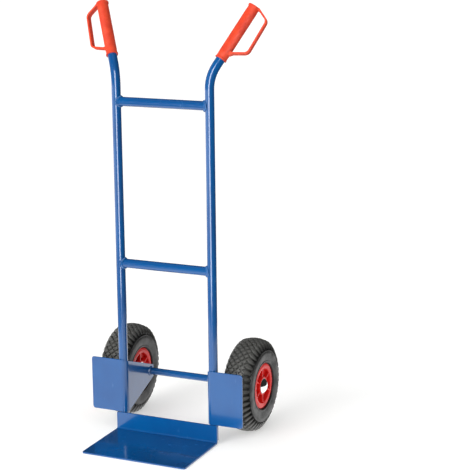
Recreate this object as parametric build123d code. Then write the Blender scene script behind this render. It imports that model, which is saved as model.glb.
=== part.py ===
from build123d import *
import math
import os

# Two-wheeled hand truck: a welded tube frame on two puncture-proof wheels.
# Millimetres. X runs across the truck, +Y from the toe plate towards the wheels, +Z up.
# The pieces are drawn with the uprights' axes in the plane Y = 0 and the floor at Z = 0.
# save() then moves them so that the origin is the middle of the footprint, on the floor.
# Every right-hand piece (+X) is drawn first, and the left-hand one is its mirror image.

# ---------------------------------------------------------------- driving dimensions
# Frame tubes
TUBE_RADIUS = 12.5
TUBE_WALL = 2.0
UPRIGHT_SPACING = 275.0  # between the axes of the two uprights
UPRIGHT_FOOT = 5.0  # the tubes' lower ends stand this far off the floor
MIDDLE_CROSSBAR_HEIGHT = 478.0
TOP_CROSSBAR_HEIGHT = 922.0

# The bend at the top of each upright
BEND_ABOVE_CROSSBAR = 43.3  # from the top crossbar's axis up to the start of the bend
BEND_RADIUS = 100.0
BEND_ANGLE = 36.6  # lean of the handle from the vertical
BEND_TURN = 47.5  # plane of the bend, from straight out sideways towards the wheels

# Toe plate: one L-shaped sheet
TOE_SHEET = 4.0
TOE_DEPTH = 204.0
TOE_LEG_HEIGHT = 52.0
TOE_SIDE_MARGIN = 4.0  # past the outer side of each upright
TOE_BEND_INSIDE = 4.0
TOE_FRONT_CORNER = 7.0
TOE_LEG_CORNER = 4.0

# Wheel bracket: a flat guard in front of the wheel, wrapped round the upright, which
# runs back beside the wheel as the web that carries the axle
BRACKET_SHEET = 3.0
BRACKET_GAP = 1.4  # over the top edge of the toe plate's leg
BRACKET_HEIGHT = 151.0
GUARD_REACH = 92.0  # from the upright's axis to the guard's outer edge
GUARD_CORNER = 7.0
WEB_MARGIN_BEHIND = 17.5  # from the axle's axis to the web's rear edge
WEB_MARGIN_ABOVE = 14.5
WEB_MARGIN_BELOW = 19.5
WEB_CORNER = 7.0
SHEET_EDGE_ROUNDING = 0.7

# Welds
WELD_RADIUS = 3.2
WELD_STAND = 1.5  # from a round surface out to the middle of the bead that lies along it
WELD_LEG = 5.0  # how far the crossbar welds spread over both tubes
WELD_HEIGHT = 2.2
STITCH_LENGTH = 38.0
STITCH_MARGIN = 18.0  # from the bracket's lower and upper edges

# Axle and what is threaded on it
AXLE_RADIUS = 10.0
AXLE_HOLE_CLEARANCE = 0.1
AXLE_FIT_CLEARANCE = 0.03  # between the axle and the rings and sleeves on it
AXLE_CHAMFER = 1.2
SPACER_LENGTH = 28.4
SPACER_WALL = 2.9
WASHER_WALL = 3.8
WASHER_THICKNESS = 2.5
CAP_MARGIN = 10.5  # from the axle's surface out to the cap's edge
CAP_HEIGHT = 9.5
CAP_WALL = 1.0
CAP_COLLAR_WALL = 1.6
CAP_GRIP_LENGTH = 5.0  # of axle end inside the cap
CAP_BACK_CLEARANCE = 0.8  # between the cap's edge and the turning hub

# Ball bearing, 20 x 42 x 12, two in each wheel
BEARING_OUTER_RADIUS = 21.0
BEARING_WIDTH = 12.0
BEARING_RECESS = 0.5  # below the hub's end faces
BALL_COUNT = 9
BALL_RADIUS = 3.175
BALL_CLEARANCE = 0.15
RACE_LAND = 2.5  # from the pitch circle to the bare cylindrical lands of both rings
CAGE_WALL = 1.6
CAGE_WIDTH = 8.4
SHIELD_THICKNESS = 0.4
SHIELD_SETBACK = 0.6
SHIELD_CLEARANCE = 1.3  # between a shield and the inner ring

# Rim, moulded in one piece
MOULDING_OVERLAP = 1.0  # how far its parts are drawn into each other before they are joined
RIM_EDGE_CHAMFER = 1.0
HUB_LENGTH = 75.0
HUB_WALL = 4.0
HUB_SHOULDER = 3.5  # step that each bearing is pushed against
RIM_HALF_WIDTH = 37.8
RIM_LIP_RADIUS = 63.2
RIM_LIP_THICKNESS = 4.2
RIM_LIP_CHAMFER = 2.2
BARREL_RADIUS = 52.3
BARREL_WALL = 4.0
FLANGE_SETBACK = 0.6  # of the flange's inner edge behind its lip
RIM_WEB = 5.0
RIM_LEDGE_RADIUS = 35.5  # outside this the web is thicker, a ledge in each recess
RIM_LEDGE_HALF_WIDTH = 27.0
RIB_COUNT = 6
RIB_THICKNESS = 4.2
RIB_HUB_SETBACK = 2.5  # of a rib's edge behind the hub's end face
RIB_BARREL_SETBACK = 1.5  # and behind the flange's inner edge

# Tyre
TYRE_RADIUS = 130.0
TYRE_HALF_WIDTH = 42.5
TYRE_CROWN_HALF_WIDTH = 27.0
TYRE_CROWN_DROP = 5.5
TYRE_WIDEST_RADIUS = 91.0
TYRE_SHOULDER_BULGE = 3.0  # of the section between crown and widest point, over its chord
TYRE_WALL_BULGE = 1.0  # and below the widest point
TYRE_FOOT_HALF_WIDTH = 38.6
TYRE_FOOT_CHAMFER = 1.0
TYRE_SEAT_CLEARANCE = 0.1
TYRE_TO_UPRIGHT_PLANE = 2.6  # from the uprights' plane back to the tread

# Hand grips with knuckle guards
GRIP_START = 20.8  # from the end of the bend to the grip's lower end
GRIP_LENGTH = 164.5
GRIP_WALL = 2.6
GRIP_FIT_CLEARANCE = 0.05
GRIP_END_WALL = 4.0
GRIP_LIP = 1.3
GRIP_LIP_LENGTH = 5.0
GUARD_TURN = 10.3  # of the loop about the grip, from straight out towards the floor
GUARD_THICKNESS = 4.0
GUARD_WIDTH = 14.0
GUARD_REACH_TOP = 53.0  # from the grip's axis to the loop's outer face
GUARD_REACH_LOW = 57.0
GUARD_TOP_CORNER = 17.0  # corner heights, from the grip's top and from its lower end
GUARD_LOW_CORNER = 47.0
GUARD_FOOT = 15.0
GUARD_CORNER_RADIUS = 17.0

# ---------------------------------------------------------------- worked-out places
UPRIGHT_X = UPRIGHT_SPACING / 2
BEND_START = TOP_CROSSBAR_HEIGHT + BEND_ABOVE_CROSSBAR
TUBE_BORE_RADIUS = TUBE_RADIUS - TUBE_WALL
LEG_BACK_Y = -TUBE_RADIUS
LEG_FRONT_Y = LEG_BACK_Y - TOE_SHEET
TOE_FRONT_Y = LEG_BACK_Y - TOE_DEPTH
TOE_HALF_WIDTH = UPRIGHT_X + TUBE_RADIUS + TOE_SIDE_MARGIN

BRACKET_BOTTOM = TOE_LEG_HEIGHT + BRACKET_GAP
BRACKET_TOP = BRACKET_BOTTOM + BRACKET_HEIGHT
WRAP_RADIUS = TUBE_RADIUS + BRACKET_SHEET
WEB_INNER_X = UPRIGHT_X - WRAP_RADIUS
WEB_OUTER_X = UPRIGHT_X - TUBE_RADIUS

AXLE_Y = TYRE_TO_UPRIGHT_PLANE + TYRE_RADIUS
AXLE_Z = TYRE_RADIUS
SLEEVE_BORE = AXLE_RADIUS + AXLE_FIT_CLEARANCE
BEARING_INNER_END = WEB_OUTER_X + SPACER_LENGTH
WHEEL_X = BEARING_INNER_END + HUB_LENGTH / 2 - BEARING_RECESS
BEARING_OFFSET = HUB_LENGTH / 2 - BEARING_RECESS - BEARING_WIDTH / 2
WASHER_START = WHEEL_X + HUB_LENGTH / 2 - BEARING_RECESS
CAP_BACK = WHEEL_X + HUB_LENGTH / 2 + CAP_BACK_CLEARANCE
CAP_SEAT = WASHER_START + WASHER_THICKNESS
AXLE_END = CAP_SEAT + CAP_GRIP_LENGTH

CAP_RADIUS = AXLE_RADIUS + CAP_MARGIN

PITCH_RADIUS = (AXLE_RADIUS + BEARING_OUTER_RADIUS) / 2
INNER_LAND_RADIUS = PITCH_RADIUS - RACE_LAND
OUTER_LAND_RADIUS = PITCH_RADIUS + RACE_LAND
HUB_RADIUS = BEARING_OUTER_RADIUS + HUB_WALL
BARREL_INNER_RADIUS = BARREL_RADIUS - BARREL_WALL
BARREL_HALF_WIDTH = RIM_HALF_WIDTH - FLANGE_SETBACK

MIDDLE_OF_DEPTH = (TOE_FRONT_Y + AXLE_Y + TYRE_RADIUS) / 2

LEAN = math.radians(BEND_ANGLE)
TURN = math.radians(BEND_TURN)
GRIP_DIRECTION = Vector(math.sin(LEAN) * math.cos(TURN), math.sin(LEAN) * math.sin(TURN), math.cos(LEAN))
BEND_CORNER = Vector(UPRIGHT_X, 0, BEND_START + BEND_RADIUS * math.tan(LEAN / 2))
BEND_END = BEND_CORNER + GRIP_DIRECTION * (BEND_RADIUS * math.tan(LEAN / 2))
GRIP_FOOT = BEND_END + GRIP_DIRECTION * GRIP_START
TUBE_TOP = GRIP_FOOT + GRIP_DIRECTION * (GRIP_LENGTH - GRIP_END_WALL - GRIP_FIT_CLEARANCE)


# ---------------------------------------------------------------- small helpers
def along_x(shape, x, y=0.0, z=0.0):
    """A shape drawn round +Z, turned to lie round +X with its base at x, y, z."""
    return Pos(x, y, z) * Rot(0, 90, 0) * shape


def rod(radius, length):
    """A cylinder that stands on its base."""
    return Cylinder(radius, length, align=(Align.CENTER, Align.CENTER, Align.MIN))


def sleeve(outer_radius, bore_radius, length):
    return rod(outer_radius, length) - rod(bore_radius, length)


def turned(*outline):
    """A ring about the X axis from an outline of (distance along X, radius) points."""
    return revolve(make_face(Polyline(*outline, close=True)), Axis.X)


def vertex_at(outline, x, y):
    """The corner of a flat outline that lies at x, y."""
    return outline.vertices().sort_by_distance((x, y, 0))[0]


def on_axle(shape, x):
    """A shape drawn round the X axis, moved onto the axle with its middle at x."""
    return Pos(x, AXLE_Y, AXLE_Z) * shape


def mirrored(shape):
    return mirror(shape, about=Plane.YZ)


def save(name, *shapes):
    """Write one node, made of one or more separate solids."""
    solids = [solid for shape in shapes for solid in shape.solids()]
    node = Compound(children=[Pos(0, -MIDDLE_OF_DEPTH, 0) * solid for solid in solids])
    node.label = name
    export_step(node if len(solids) > 1 else node.solids()[0], f"parts/{name}.step")


def save_pair(name, *shapes):
    """Write the right-hand node and its mirror image, the left-hand one."""
    save(f"right_{name}", *shapes)
    save(f"left_{name}", *[mirrored(shape) for shape in shapes])


# ---------------------------------------------------------------- tube frame
def upright_rod(radius):
    """The upright's solid envelope at a radius: straight, then bent out and back."""
    foot = Vector(UPRIGHT_X, 0, UPRIGHT_FOOT)
    path = FilletPolyline(foot, BEND_CORNER, TUBE_TOP, radius=BEND_RADIUS)
    return sweep(Plane(foot, z_dir=(0, 0, 1)) * Circle(radius), path)


def upright():
    return upright_rod(TUBE_RADIUS) - upright_rod(TUBE_BORE_RADIUS)


def straight_upright():
    """The straight stretch as a plain solid, for cutting what is welded to it."""
    return Pos(UPRIGHT_X, 0, UPRIGHT_FOOT) * rod(TUBE_RADIUS, BEND_START - UPRIGHT_FOOT)


def crossbar(height):
    """A tube cut square at both ends, which touches the uprights' inner sides."""
    half = UPRIGHT_X - TUBE_RADIUS
    return along_x(sleeve(TUBE_RADIUS, TUBE_BORE_RADIUS, 2 * half), -half, 0, height)


def crossbar_weld(height):
    """Weld metal between a crossbar's square end and the right-hand upright."""
    end = UPRIGHT_X - TUBE_RADIUS
    collar = along_x(rod(TUBE_RADIUS + WELD_HEIGHT, 2 * TUBE_RADIUS), end - WELD_LEG, 0, height)
    reach = Pos(UPRIGHT_X, 0, height - 2 * TUBE_RADIUS) * rod(TUBE_RADIUS + WELD_LEG, 4 * TUBE_RADIUS)
    inner_half = Pos(UPRIGHT_X - WELD_LEG, 0, height) * Box(
        4 * TUBE_RADIUS, 4 * TUBE_RADIUS, 4 * TUBE_RADIUS, align=(Align.MAX, Align.CENTER, Align.CENTER)
    )
    bore = along_x(rod(TUBE_BORE_RADIUS, 4 * TUBE_RADIUS), end - 2 * TUBE_RADIUS, 0, height)
    bar = along_x(rod(TUBE_RADIUS, end), 0, 0, height)
    return (collar & reach & inner_half) - straight_upright() - bar - bore


# ---------------------------------------------------------------- sheet metal
def toe_plate():
    """Blade on the floor and leg up the front of the uprights, bent from one sheet."""
    outline = Polygon(
        (LEG_BACK_Y, TOE_LEG_HEIGHT),
        (LEG_BACK_Y, 0),
        (TOE_FRONT_Y, 0),
        (TOE_FRONT_Y, TOE_SHEET),
        (LEG_FRONT_Y, TOE_SHEET),
        (LEG_FRONT_Y, TOE_LEG_HEIGHT),
        align=None,
    )
    outline = fillet(vertex_at(outline, LEG_BACK_Y, 0), TOE_BEND_INSIDE + TOE_SHEET)
    outline = fillet(vertex_at(outline, LEG_FRONT_Y, TOE_SHEET), TOE_BEND_INSIDE)
    sheet = extrude(Plane.YZ * outline, TOE_HALF_WIDTH, both=True)
    upright_edges = sheet.edges().filter_by(Axis.Z).group_by(Axis.Y)[0]
    sheet = fillet(upright_edges, TOE_FRONT_CORNER)
    leg_corners = sheet.edges().filter_by(Axis.Y).group_by(Axis.Z)[-1]
    sheet = fillet(leg_corners, TOE_LEG_CORNER)
    blade_top = sheet.faces().filter_by(lambda face: abs(face.center().Z - TOE_SHEET) < 1e-6)[0]
    fold = LEG_FRONT_Y - TOE_BEND_INSIDE
    rim_edges = [edge for edge in blade_top.edges() if edge.center().Y < fold - 1]
    return fillet(rim_edges, SHEET_EDGE_ROUNDING)


def web_outline():
    """Side view of the bracket behind the upright, as (Y, Z) points, front edge first."""
    rear = AXLE_Y + WEB_MARGIN_BEHIND
    return [
        (-WRAP_RADIUS, BRACKET_BOTTOM),
        (0, BRACKET_BOTTOM),
        (rear, AXLE_Z - WEB_MARGIN_BELOW),
        (rear, AXLE_Z + WEB_MARGIN_ABOVE),
        (-WRAP_RADIUS, BRACKET_TOP),
    ]


def rounded_sheet(sheet, keeps):
    """A flat sheet with its edges eased, except those for which keeps is true."""
    return fillet([edge for edge in sheet.edges() if not keeps(edge)], SHEET_EDGE_ROUNDING)


def bracket_guard():
    """The flat guard in front of the wheel, from the upright's axis outwards."""
    outline = Pos(UPRIGHT_X, BRACKET_BOTTOM) * Rectangle(
        GUARD_REACH, BRACKET_HEIGHT, align=(Align.MIN, Align.MIN)
    )
    outline = fillet(outline.vertices().group_by(Axis.X)[-1], GUARD_CORNER)
    sheet = Pos(0, -WRAP_RADIUS, 0) * extrude(Plane.XZ * outline, -BRACKET_SHEET)
    return rounded_sheet(sheet, lambda edge: edge.bounding_box().min.X < UPRIGHT_X + 1)


def bracket_web():
    """The web's full side shape, and the web itself behind the upright's axis."""
    outline = Plane.YZ * Polygon(*web_outline(), align=None)
    outline = Pos(WEB_INNER_X, 0, 0) * fillet(outline.vertices().group_by(Axis.Y)[-1], WEB_CORNER)
    behind = Pos(WEB_INNER_X, 0, BRACKET_BOTTOM) * Box(
        BRACKET_SHEET, AXLE_Y + TYRE_RADIUS, BRACKET_HEIGHT, align=(Align.MIN, Align.MIN, Align.MIN)
    )
    web = rounded_sheet(
        extrude(outline, BRACKET_SHEET) & behind, lambda edge: edge.bounding_box().min.Y < 1
    )
    return outline, web


def wheel_bracket():
    """Guard, wrap round the upright's front inner quarter, and web, from one sheet."""
    ring = Pos(UPRIGHT_X, 0, BRACKET_BOTTOM) * sleeve(WRAP_RADIUS, TUBE_RADIUS, BRACKET_HEIGHT)
    quarter = Pos(UPRIGHT_X, 0, BRACKET_BOTTOM) * Box(
        WRAP_RADIUS, WRAP_RADIUS, BRACKET_HEIGHT, align=(Align.MAX, Align.MAX, Align.MIN)
    )
    outline, web = bracket_web()
    wrap = (ring & quarter) & extrude(outline, WRAP_RADIUS)
    hole = rod(AXLE_RADIUS + AXLE_HOLE_CLEARANCE, 3 * BRACKET_SHEET)
    return bracket_guard() + wrap + web - along_x(hole, WEB_INNER_X - BRACKET_SHEET, AXLE_Y, AXLE_Z)


def stitch(across, behind, bottom):
    """An upright bead in the corner between the upright and a sheet that touches it.

    across and behind are -1 or 1: the side of the upright's axis, in X and in Y.
    """
    reach = (TUBE_RADIUS + WELD_STAND) / math.sqrt(2)
    return Pos(UPRIGHT_X + across * reach, behind * reach, bottom) * rod(WELD_RADIUS, STITCH_LENGTH)


def toe_plate_welds(plate):
    """One bead down each side of the upright, against the back of the leg."""
    bottom = (UPRIGHT_FOOT + TOE_LEG_HEIGHT - STITCH_LENGTH) / 2
    beads = [stitch(across, -1, bottom) for across in (-1, 1)]
    return [bead - straight_upright() - plate for bead in beads]


def bracket_welds(bracket):
    """Beads behind the guard, outside the upright, and behind the upright on the web."""
    low = BRACKET_BOTTOM + STITCH_MARGIN
    high = BRACKET_TOP - STITCH_MARGIN - STITCH_LENGTH
    beads = [stitch(1, -1, bottom) for bottom in (low, high)]
    beads += [stitch(-1, 1, bottom) for bottom in (low, high)]
    return [bead - straight_upright() - bracket for bead in beads]


def axle_weld(bracket):
    """A ring of weld round the axle, on the inner face of the web."""
    ring = along_x(Torus(AXLE_RADIUS + WELD_STAND, WELD_RADIUS), WEB_INNER_X, AXLE_Y, AXLE_Z)
    shaft = along_x(rod(AXLE_RADIUS, 8 * WELD_RADIUS), WEB_INNER_X - 4 * WELD_RADIUS, AXLE_Y, AXLE_Z)
    inside = Pos(WEB_INNER_X, AXLE_Y, AXLE_Z) * Box(
        8 * WELD_RADIUS, 8 * AXLE_RADIUS, 8 * AXLE_RADIUS, align=(Align.MAX, Align.CENTER, Align.CENTER)
    )
    return (ring & inside) - shaft - bracket


# ---------------------------------------------------------------- axle and bearings
def axle():
    bar = along_x(rod(AXLE_RADIUS, 2 * AXLE_END), -AXLE_END, AXLE_Y, AXLE_Z)
    return chamfer(bar.edges().filter_by(GeomType.CIRCLE), AXLE_CHAMFER)


def axle_spacer():
    """The sleeve that holds the wheel off the bracket."""
    tube = sleeve(AXLE_RADIUS + SPACER_WALL, SLEEVE_BORE, SPACER_LENGTH)
    return along_x(tube, WEB_OUTER_X, AXLE_Y, AXLE_Z)


def axle_washer():
    ring = sleeve(AXLE_RADIUS + WASHER_WALL, SLEEVE_BORE, WASHER_THICKNESS)
    return along_x(ring, WASHER_START, AXLE_Y, AXLE_Z)


def dome(radius, height):
    """A shallow solid dome about the X axis, with its rim in the plane X = 0."""
    top, rim_point = (height, 0), (0, radius)
    arc = TangentArc(top, rim_point, tangent=(0, 1))
    return revolve(make_face([Line((0, 0), top), arc, Line(rim_point, (0, 0))]), Axis.X)


def axle_cap():
    """Pressed domed cap whose inner collar grips the end of the axle."""
    outside = dome(CAP_RADIUS, CAP_HEIGHT)
    hollow = dome(CAP_RADIUS - CAP_WALL, CAP_HEIGHT - CAP_WALL)
    collar_bore = rod(SLEEVE_BORE, CAP_HEIGHT)
    collar = along_x(rod(SLEEVE_BORE + CAP_COLLAR_WALL, CAP_HEIGHT) - collar_bore, CAP_SEAT - CAP_BACK)
    return on_axle((outside - hollow) + (collar & outside), CAP_BACK)


def ball_groove():
    """The torus that the balls roll in, with their running clearance."""
    return Rot(0, 90, 0) * Torus(PITCH_RADIUS, BALL_RADIUS + BALL_CLEARANCE)


def in_both_bearings(shape):
    """A shape drawn in a bearing at the origin, put in both of the wheel's bearings."""
    return [on_axle(shape, WHEEL_X + side * BEARING_OFFSET) for side in (-1, 1)]


def inner_ring():
    ring = sleeve(INNER_LAND_RADIUS, SLEEVE_BORE, BEARING_WIDTH)
    return along_x(ring, -BEARING_WIDTH / 2) - ball_groove()


def outer_ring():
    ring = sleeve(BEARING_OUTER_RADIUS, OUTER_LAND_RADIUS, BEARING_WIDTH)
    return along_x(ring, -BEARING_WIDTH / 2) - ball_groove()


def shield(side):
    """The thin closing ring at one side of a bearing, held in the outer ring."""
    ring = sleeve(OUTER_LAND_RADIUS, INNER_LAND_RADIUS + SHIELD_CLEARANCE, SHIELD_THICKNESS)
    middle = side * (BEARING_WIDTH / 2 - SHIELD_SETBACK - SHIELD_THICKNESS / 2)
    return along_x(ring, middle - SHIELD_THICKNESS / 2)


def ball_places():
    for number in range(BALL_COUNT):
        yield Rot(360 * number / BALL_COUNT, 0, 0) * Pos(0, 0, PITCH_RADIUS)


def balls():
    return [place * Sphere(BALL_RADIUS) for place in ball_places()]


def cage():
    ring = sleeve(PITCH_RADIUS + CAGE_WALL / 2, PITCH_RADIUS - CAGE_WALL / 2, CAGE_WIDTH)
    ring = along_x(ring, -CAGE_WIDTH / 2)
    for place in ball_places():
        ring -= place * Sphere(BALL_RADIUS + BALL_CLEARANCE)
    return ring


def bearing_spacer():
    """The sleeve between the inner rings of a wheel's two bearings."""
    length = 2 * (BEARING_OFFSET - BEARING_WIDTH / 2)
    return on_axle(along_x(sleeve(INNER_LAND_RADIUS, SLEEVE_BORE, length), -length / 2), WHEEL_X)


# ---------------------------------------------------------------- wheel
def rim_body():
    """Barrel, flanges, ledged web and hub, turned about the wheel's axis."""
    lip_in = RIM_HALF_WIDTH - RIM_LIP_THICKNESS
    half = [
        (BARREL_HALF_WIDTH - RIM_EDGE_CHAMFER, BARREL_INNER_RADIUS),
        (BARREL_HALF_WIDTH, BARREL_INNER_RADIUS + RIM_EDGE_CHAMFER),
        (RIM_HALF_WIDTH, RIM_LIP_RADIUS - RIM_LIP_CHAMFER),
        (RIM_HALF_WIDTH - RIM_LIP_CHAMFER, RIM_LIP_RADIUS),
        (lip_in, RIM_LIP_RADIUS),
        (BARREL_HALF_WIDTH - RIM_LIP_THICKNESS, BARREL_RADIUS),
    ]
    shell = turned(*half, *[(-x, radius) for x, radius in reversed(half)])
    outside = BARREL_INNER_RADIUS + MOULDING_OVERLAP
    web = sleeve(outside, HUB_RADIUS - MOULDING_OVERLAP, RIM_WEB)
    ledge = sleeve(outside, RIM_LEDGE_RADIUS, 2 * RIM_LEDGE_HALF_WIDTH)
    hub = along_x(rod(HUB_RADIUS, HUB_LENGTH), -HUB_LENGTH / 2)
    hub = chamfer(hub.edges().filter_by(GeomType.CIRCLE), RIM_EDGE_CHAMFER)
    return shell + along_x(web, -RIM_WEB / 2) + along_x(ledge, -RIM_LEDGE_HALF_WIDTH) + hub


def rim_ribs():
    """Radial ribs through both of the rim's recesses, the first one straight up."""
    hub_edge = HUB_LENGTH / 2 - RIB_HUB_SETBACK
    barrel_edge = BARREL_HALF_WIDTH - RIB_BARREL_SETBACK
    inside = HUB_RADIUS - MOULDING_OVERLAP
    outside = BARREL_INNER_RADIUS + MOULDING_OVERLAP
    outline = Polygon(
        (-hub_edge, inside),
        (hub_edge, inside),
        (barrel_edge, outside),
        (-barrel_edge, outside),
        align=None,
    )
    rib = extrude(Plane.XZ * outline, RIB_THICKNESS / 2, both=True)
    return [Rot(360 * number / RIB_COUNT, 0, 0) * rib for number in range(RIB_COUNT)]


def rim():
    body = rim_body()
    for rib in rim_ribs():
        body += rib
    passage = BEARING_OUTER_RADIUS - HUB_SHOULDER
    seat_depth = BEARING_WIDTH + BEARING_RECESS
    body -= along_x(rod(passage, 2 * HUB_LENGTH), -HUB_LENGTH)
    for side in (-1, 1):
        seat = along_x(rod(BEARING_OUTER_RADIUS + AXLE_FIT_CLEARANCE, 2 * seat_depth), -seat_depth)
        body -= Pos(side * HUB_LENGTH / 2, 0, 0) * seat
    return on_axle(body, WHEEL_X)


def bulged(start, end, bulge):
    """An arc of the tyre's section that stands out from its chord, away from the rim."""
    chord = Vector(*end) - Vector(*start)
    outward = Vector(-chord.Y, chord.X) * (bulge / chord.length)
    return ThreePointArc(start, (Vector(*start) + Vector(*end)) * 0.5 + outward, end)


def tyre():
    """Solid cellular tyre: a rounded section whose feet fill the rim's channel."""
    lip_in = RIM_HALF_WIDTH - RIM_LIP_THICKNESS - TYRE_SEAT_CLEARANCE
    barrel_end = BARREL_HALF_WIDTH - RIM_LIP_THICKNESS - TYRE_SEAT_CLEARANCE
    on_lip = RIM_LIP_RADIUS + TYRE_SEAT_CLEARANCE
    crown_edge = (TYRE_CROWN_HALF_WIDTH, TYRE_RADIUS - TYRE_CROWN_DROP)
    widest = (TYRE_HALF_WIDTH, TYRE_WIDEST_RADIUS)
    foot = (TYRE_FOOT_HALF_WIDTH, on_lip + TYRE_FOOT_CHAMFER)
    foot_inside = (TYRE_FOOT_HALF_WIDTH - TYRE_FOOT_CHAMFER, on_lip)
    lip_corner = (lip_in, on_lip)
    barrel_corner = (barrel_end, BARREL_RADIUS + TYRE_SEAT_CLEARANCE)

    def flipped(point):
        return (-point[0], point[1])

    seat = [foot, foot_inside, lip_corner, barrel_corner]
    seat += [flipped(point) for point in reversed(seat)]
    section = Wire(
        [
            ThreePointArc(flipped(crown_edge), (0, TYRE_RADIUS), crown_edge),
            bulged(crown_edge, widest, TYRE_SHOULDER_BULGE),
            bulged(widest, foot, TYRE_WALL_BULGE),
            *Polyline(*seat).edges(),
            bulged(flipped(foot), flipped(widest), TYRE_WALL_BULGE),
            bulged(flipped(widest), flipped(crown_edge), TYRE_SHOULDER_BULGE),
        ]
    )
    return on_axle(revolve(make_face(section), Axis.X), WHEEL_X)


# ---------------------------------------------------------------- grips
def grip_place():
    """The grip's own frame: +Z up the handle, +X towards the knuckle guard."""
    outward = Vector(1, 0, 0) - GRIP_DIRECTION * GRIP_DIRECTION.X
    guard_side = outward.normalized().rotate(Axis((0, 0, 0), GRIP_DIRECTION), GUARD_TURN)
    return Plane(GRIP_FOOT, x_dir=guard_side, z_dir=GRIP_DIRECTION)


def knuckle_guard():
    """The flat loop from the grip's top to its lower end, cut from a closed outline."""
    corners = [
        (GUARD_REACH_TOP, GRIP_LENGTH - GUARD_TOP_CORNER),
        (GUARD_REACH_LOW, GUARD_LOW_CORNER),
    ]
    top = (TUBE_RADIUS + GRIP_WALL, GRIP_LENGTH)
    outline = Polygon((0, GRIP_LENGTH), top, *corners, (0, GUARD_FOOT), align=None)
    inner = offset(outline, -GUARD_THICKNESS, kind=Kind.INTERSECTION)
    loop_corners = outline.vertices().filter_by(lambda v: v.X > TUBE_RADIUS)
    outline = fillet(loop_corners, GUARD_CORNER_RADIUS)
    inner = fillet(
        inner.vertices().filter_by(lambda v: v.X > 2 * TUBE_RADIUS), GUARD_CORNER_RADIUS - GUARD_THICKNESS
    )
    return extrude(Plane.XZ * (outline - inner), GUARD_WIDTH / 2, both=True)


def grip():
    """Closed sleeve pushed over the tube's end, with a lip at each end and the guard."""
    radius = TUBE_RADIUS + GRIP_WALL
    body = rod(radius, GRIP_LENGTH) + knuckle_guard()
    body += rod(radius + GRIP_LIP / 2, GRIP_LIP_LENGTH / 2)
    body += Pos(0, 0, GRIP_LENGTH - GRIP_LIP_LENGTH) * rod(radius + GRIP_LIP, GRIP_LIP_LENGTH)
    body -= rod(TUBE_RADIUS + GRIP_FIT_CLEARANCE, GRIP_LENGTH - GRIP_END_WALL)
    return grip_place().location * body


# ---------------------------------------------------------------- the whole truck
def main():
    os.makedirs("parts", exist_ok=True)
    plate = toe_plate()
    bracket = wheel_bracket()
    heights = (MIDDLE_CROSSBAR_HEIGHT, TOP_CROSSBAR_HEIGHT)

    save_pair("upright", upright())
    save("middle_crossbar", crossbar(MIDDLE_CROSSBAR_HEIGHT))
    save("top_crossbar", crossbar(TOP_CROSSBAR_HEIGHT))
    save("toe_plate", plate)
    save_pair("wheel_bracket", bracket)
    save("axle", axle())

    right_ends = [crossbar_weld(height) for height in heights]
    save("crossbar_welds", *right_ends, *[mirrored(end) for end in right_ends])
    right_toe = toe_plate_welds(plate)
    save("toe_plate_welds", *right_toe, *[mirrored(bead) for bead in right_toe])
    right_bracket = bracket_welds(bracket)
    save("bracket_welds", *right_bracket, *[mirrored(bead) for bead in right_bracket])
    ring = axle_weld(bracket)
    save("axle_welds", ring, mirrored(ring))

    save_pair("axle_spacer", axle_spacer())
    save_pair("axle_washer", axle_washer())
    save_pair("axle_cap", axle_cap())
    save_pair("grip", grip())

    save_pair("tyre", tyre())
    save_pair("rim", rim())
    save_pair("bearing_inner_rings", *in_both_bearings(inner_ring()))
    save_pair("bearing_outer_rings", *in_both_bearings(outer_ring()))
    shields = [ring for side in (-1, 1) for ring in in_both_bearings(shield(side))]
    save_pair("bearing_shields", *shields)
    rolling = [ball for one in balls() for ball in in_both_bearings(one)]
    save_pair("bearing_balls", *rolling)
    save_pair("bearing_cages", *in_both_bearings(cage()))
    save_pair("bearing_spacer", bearing_spacer())


main()
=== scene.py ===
import math

import bmesh
import bpy
from mathutils import Matrix, Vector


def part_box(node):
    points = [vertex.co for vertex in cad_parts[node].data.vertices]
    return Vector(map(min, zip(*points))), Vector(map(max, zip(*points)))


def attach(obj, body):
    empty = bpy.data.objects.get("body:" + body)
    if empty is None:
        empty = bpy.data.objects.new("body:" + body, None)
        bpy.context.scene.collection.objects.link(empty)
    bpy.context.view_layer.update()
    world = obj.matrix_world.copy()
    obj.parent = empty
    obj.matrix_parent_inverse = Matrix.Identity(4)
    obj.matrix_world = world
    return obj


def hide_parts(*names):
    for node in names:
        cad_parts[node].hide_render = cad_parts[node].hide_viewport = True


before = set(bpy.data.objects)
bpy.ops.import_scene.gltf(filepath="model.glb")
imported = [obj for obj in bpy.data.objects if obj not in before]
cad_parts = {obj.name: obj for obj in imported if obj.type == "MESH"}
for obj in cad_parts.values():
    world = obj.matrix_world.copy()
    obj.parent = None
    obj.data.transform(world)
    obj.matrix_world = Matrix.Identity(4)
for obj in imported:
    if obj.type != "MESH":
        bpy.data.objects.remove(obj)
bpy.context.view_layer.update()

# An upright hand truck: blue tube frame and toe plate, red grips with knuckle guards,
# and two treaded puncture-proof tyres on ribbed red rims. Metres, on the CAD's frame.
# Places come from the CAD nodes' boxes. Small sizes are given in millimetres times MM.

MM = 0.001
SIDES = {"left": -1, "right": 1}

# ---------------------------------------------------------------- places from the frame
crossbar_low, crossbar_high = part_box("middle_crossbar")
TUBE_RADIUS = (crossbar_high.z - crossbar_low.z) / 2
FRAME_Y = (crossbar_high.y + crossbar_low.y) / 2
UPRIGHT_X = crossbar_high.x + TUBE_RADIUS
CROSSBAR_HEIGHTS = [
    (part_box(node)[0].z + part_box(node)[1].z) / 2 for node in ("middle_crossbar", "top_crossbar")
]

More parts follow.
